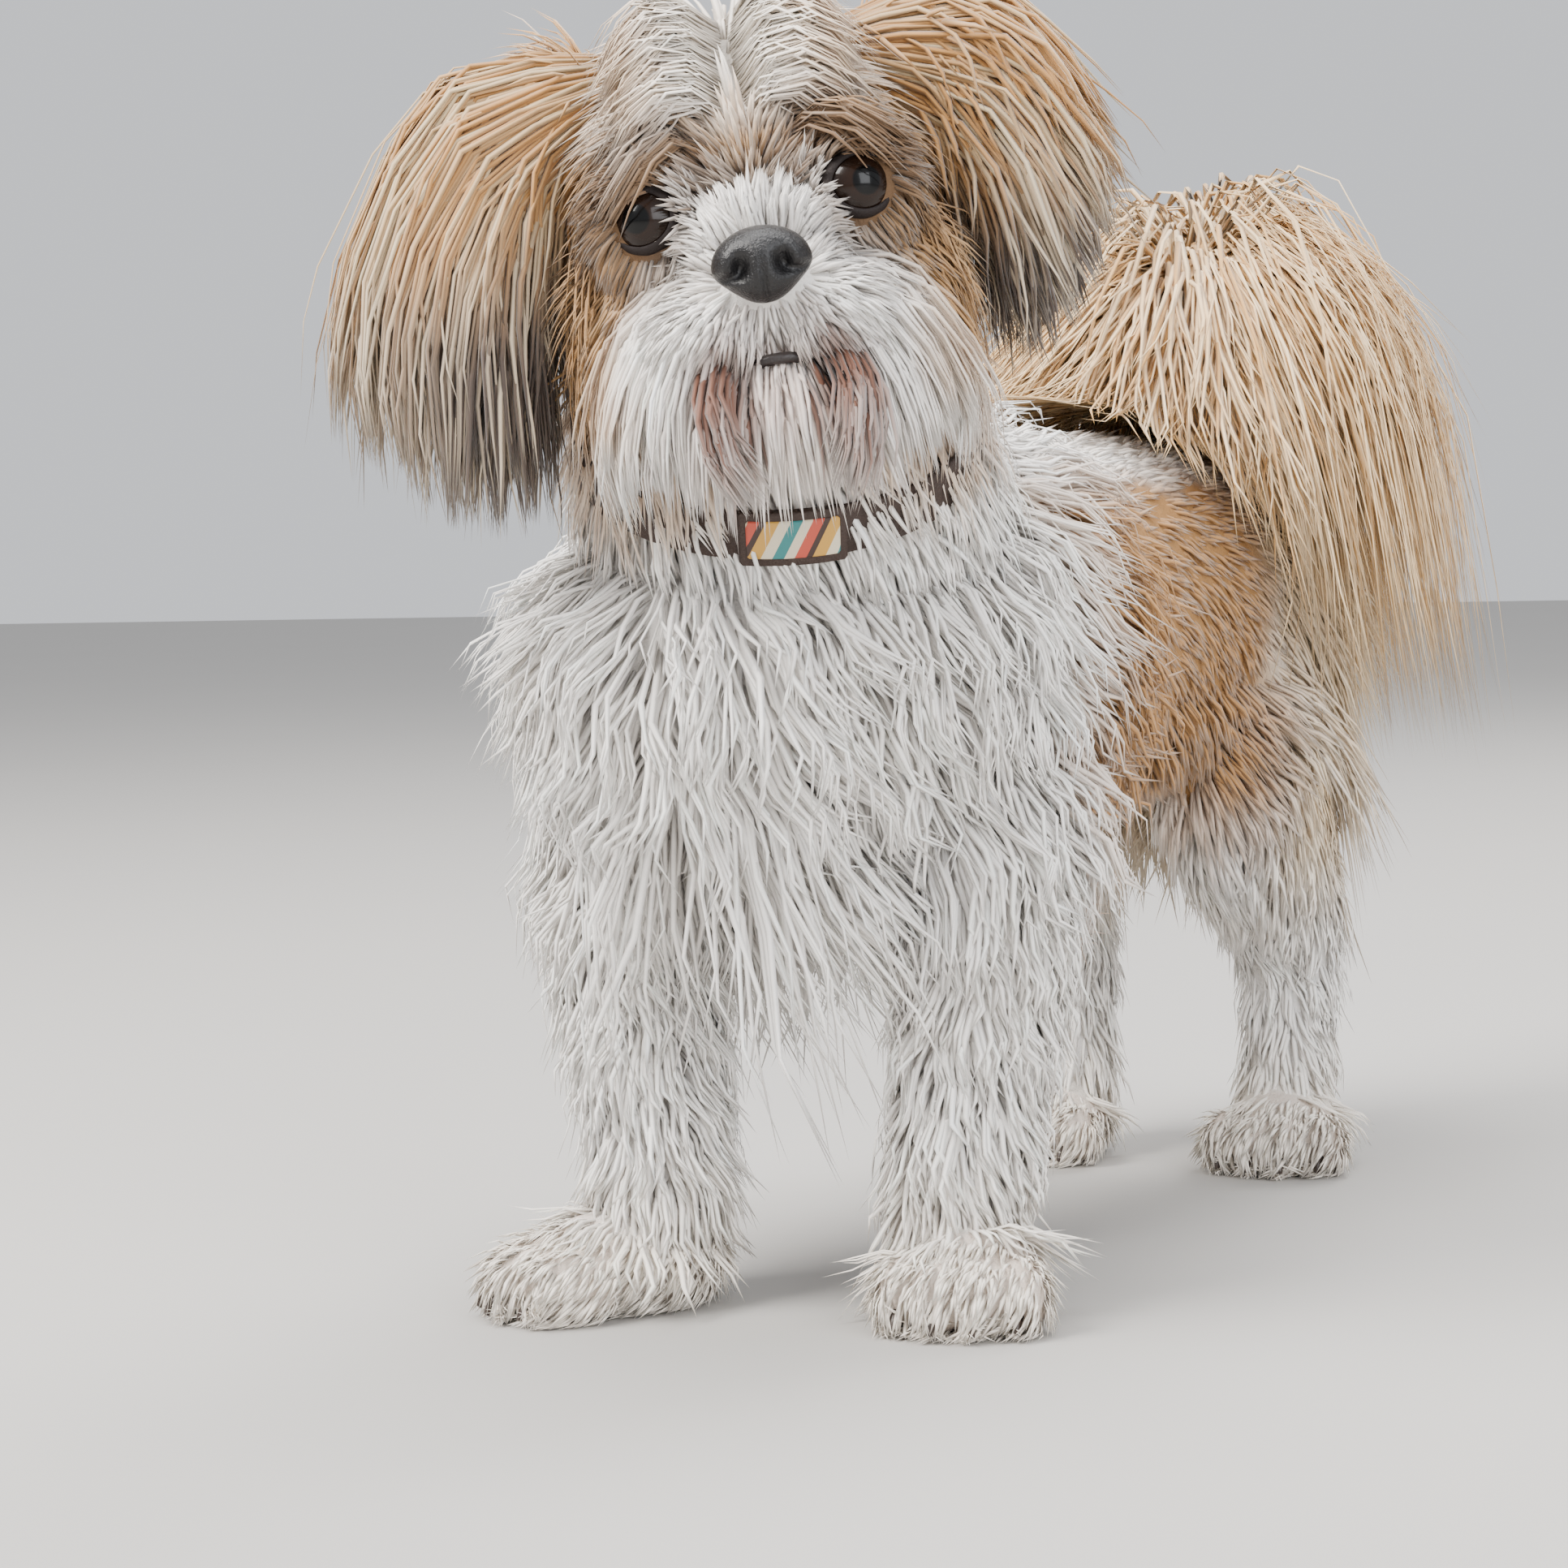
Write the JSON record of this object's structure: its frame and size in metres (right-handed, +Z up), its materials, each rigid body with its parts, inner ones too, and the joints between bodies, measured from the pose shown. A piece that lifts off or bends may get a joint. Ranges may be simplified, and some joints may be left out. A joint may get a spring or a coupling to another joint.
{
  "type": "shih tzu",
  "caption": "Long-coated small dog standing with its head turned to its left, plumed tail over the back, hanging ears and a collar.",
  "frame": {"origin": "on the floor, under the middle of the whole dog", "axes": "+Z up, the body faces -Y, the dog's left is +X"},
  "size_m": [0.22, 0.502, 0.3842],
  "materials": {
    "white_coat": "matte white hair, soft waves",
    "gold_coat": "matte gold and cream hair",
    "nose": "black, moist, finely pebbled",
    "eye": "very dark brown, wet gloss",
    "collar_strap": "dark brown, satin",
    "collar_slide": "striped woven panel, satin"
  },
  "bodies": {
    "root": {"nose": "nose", "eye_left": "eye", "eye_right": "eye", "collar_slide": "collar_slide", "collar_strap": "collar_strap", "head": "gold_coat", "lower_jaw": "white_coat", "muzzle": "white_coat", "ear_left": "gold_coat", "ear_right": "gold_coat", "flank": "gold_coat", "rump": "gold_coat", "chest": "white_coat", "neck": "white_coat", "tail_root": "gold_coat", "tail_plume": "gold_coat", "forepaw_left": "white_coat", "forepaw_right": "white_coat", "hindpaw_left": "white_coat", "hindpaw_right": "white_coat", "foreleg_left": "white_coat", "foreleg_right": "white_coat", "hindleg_left": "white_coat", "hindleg_right": "white_coat"}
  },
  "joints": []
}
